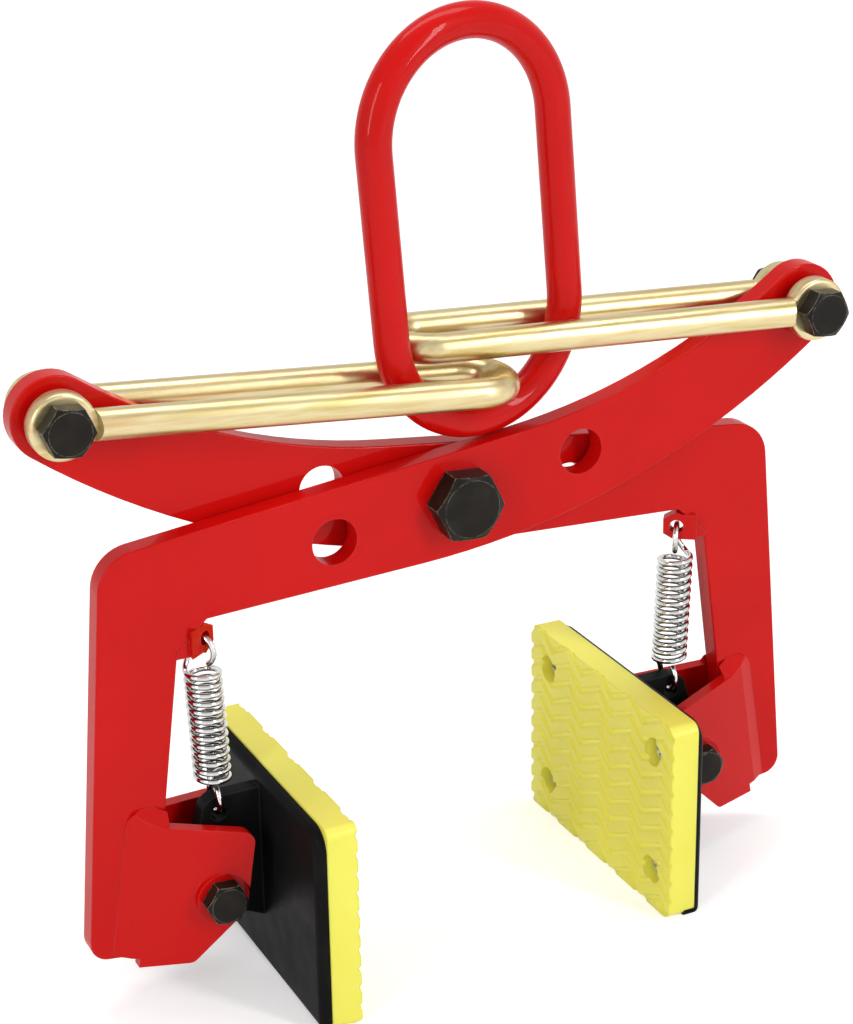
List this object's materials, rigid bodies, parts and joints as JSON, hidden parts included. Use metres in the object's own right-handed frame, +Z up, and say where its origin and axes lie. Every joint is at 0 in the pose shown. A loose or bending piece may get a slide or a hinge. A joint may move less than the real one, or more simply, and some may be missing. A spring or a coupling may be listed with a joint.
{
  "type": "stone lifting clamp",
  "caption": "Scissor clamp with crossed bent arms, hairpin links, an oval lifting ring and sprung swivelling grip pads, for lifting stone slabs and kerbs.",
  "frame": {"origin": "on the floor under the main pivot, midway between the two arm plates", "axes": "+X from the left jaw to the right jaw, +Y away from the front, along the pivot bolts, +Z up along the lifting ring"},
  "size_m": [0.4056, 0.153, 0.4413],
  "materials": {
    "red_paint": "gloss",
    "yellow_zinc": "yellow zinc plated, satin",
    "black_oxide": "black oxide, satin",
    "black_paint": "satin",
    "yellow_polyurethane": "moulded, semi-gloss",
    "bright_screw": "bright",
    "bright_spring": "bright"
  },
  "bodies": {
    "pivot": {"pivot_bolt": "black_oxide", "pivot_nut": "black_oxide", "pivot_washer": "black_oxide"},
    "front_arm": {"front_arm": "red_paint", "left_front_cheek": "red_paint", "left_rear_cheek": "red_paint", "left_spring_eye": "red_paint", "left_hinge_bolt": "black_oxide", "left_hinge_nut": "black_oxide", "left_spring": "bright_spring"},
    "rear_arm": {"rear_arm": "red_paint", "right_front_cheek": "red_paint", "right_rear_cheek": "red_paint", "right_spring_eye": "red_paint", "right_hinge_bolt": "black_oxide", "right_hinge_nut": "black_oxide", "right_spring": "bright_spring"},
    "left_link": {"left_link": "yellow_zinc", "left_link_bolt": "black_oxide", "left_link_nut": "black_oxide"},
    "right_link": {"right_link": "yellow_zinc", "right_link_bolt": "black_oxide", "right_link_nut": "black_oxide"},
    "lifting_ring": {"lifting_ring": "red_paint"},
    "left_pad": {"left_pad_carrier": "black_paint", "left_pad": "yellow_polyurethane", "left_pad_screws": "bright_screw"},
    "right_pad": {"right_pad_carrier": "black_paint", "right_pad": "yellow_polyurethane", "right_pad_screws": "bright_screw"}
  },
  "joints": [
    {"name": "front_arm_closing", "type": "hinge", "parent": "pivot", "child": "front_arm", "pos_m": [0, -0.0065, 0.217], "axis": [0, -1, 0], "range_deg": [0, 16]},
    {"name": "rear_arm_closing", "type": "hinge", "parent": "pivot", "child": "rear_arm", "pos_m": [0, 0.0065, 0.217], "axis": [0, 1, 0], "range_deg": [0, 16.1]},
    {"name": "left_link_swing", "type": "hinge", "parent": "rear_arm", "child": "left_link", "pos_m": [-0.1835, 0.0065, 0.2835], "axis": [0, -1, 0], "range_deg": [0, 44.4]},
    {"name": "right_link_swing", "type": "hinge", "parent": "front_arm", "child": "right_link", "pos_m": [0.1835, -0.0065, 0.2835], "axis": [0, 1, 0], "range_deg": [0, 55.6]},
    {"name": "ring_lift", "type": "slide", "parent": "pivot", "child": "lifting_ring", "axis": [0, 0, 1], "range_m": [0, 0.1391]},
    {"name": "left_pad_swivel", "type": "hinge", "parent": "front_arm", "child": "left_pad", "pos_m": [-0.13048, -0.0065, 0.053], "axis": [0, 1, 0], "range_deg": [-8, 30], "stiffness_Nm_per_rad": 1, "deforming": ["left_spring"]},
    {"name": "right_pad_swivel", "type": "hinge", "parent": "rear_arm", "child": "right_pad", "pos_m": [0.13048, 0.0065, 0.053], "axis": [0, -1, 0], "range_deg": [-8, 30], "stiffness_Nm_per_rad": 1, "deforming": ["right_spring"]}
  ],
  "couplings": [
    {"joint": "rear_arm_closing", "follows": "front_arm_closing", "ratio": 1},
    {"joint": "left_link_swing", "follows": "front_arm_closing", "ratio": 2.77},
    {"joint": "right_link_swing", "follows": "front_arm_closing", "ratio": 3.47},
    {"joint": "ring_lift", "follows": "front_arm_closing", "m_per_rad": 0.4978}
  ]
}
